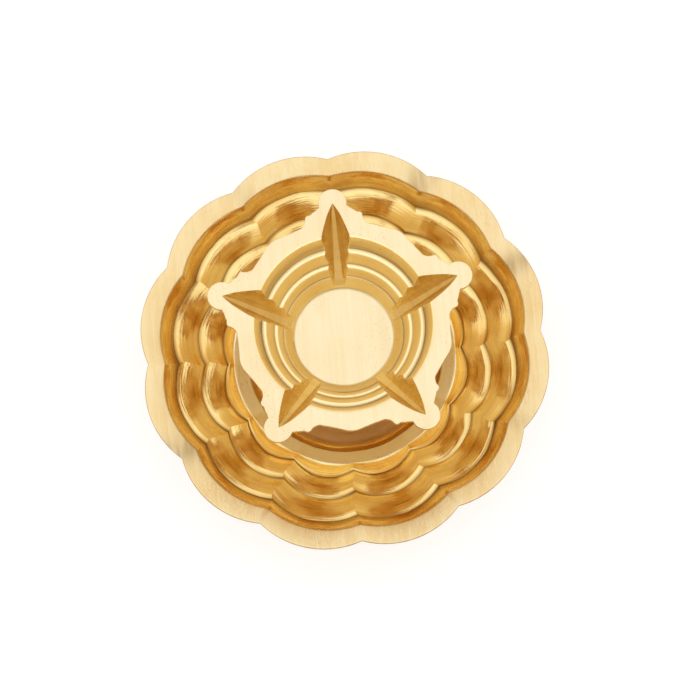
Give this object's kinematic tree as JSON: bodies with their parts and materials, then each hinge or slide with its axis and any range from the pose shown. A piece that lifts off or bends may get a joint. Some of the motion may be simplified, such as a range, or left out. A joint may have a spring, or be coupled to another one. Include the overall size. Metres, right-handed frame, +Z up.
{
  "type": "petal bowl with oil lamp",
  "caption": "Scalloped brass petal bowl with lapped wavy wall tiers on a foot ring, carrying a raised star-shaped oil lamp dish with wick spouts on a turned pedestal.",
  "frame": {"origin": "on the surface the foot ring stands on, under the middle of the bowl", "axes": "+Z up along the bowl's and the lamp's common axis; +Y through a rim cusp and one lamp spout"},
  "size_m": [0.149, 0.149, 0.0655],
  "materials": {
    "brass_polished": "polished",
    "brass_satin": "satin, turned and linished",
    "brass_plain": "plain machined"
  },
  "bodies": {
    "bowl": {"petal_bowl": "brass_polished", "foot_ring": "brass_plain", "pedestal": "brass_polished", "fixing_washer": "brass_plain", "fixing_screw": "brass_plain"},
    "lamp": {"lamp_dish": "brass_satin", "lamp_spigot": "brass_plain"}
  },
  "joints": [
    {"name": "lamp_lift", "type": "slide", "parent": "bowl", "child": "lamp", "axis": [0, 0, 1], "range_m": [0, 0.015]}
  ]
}
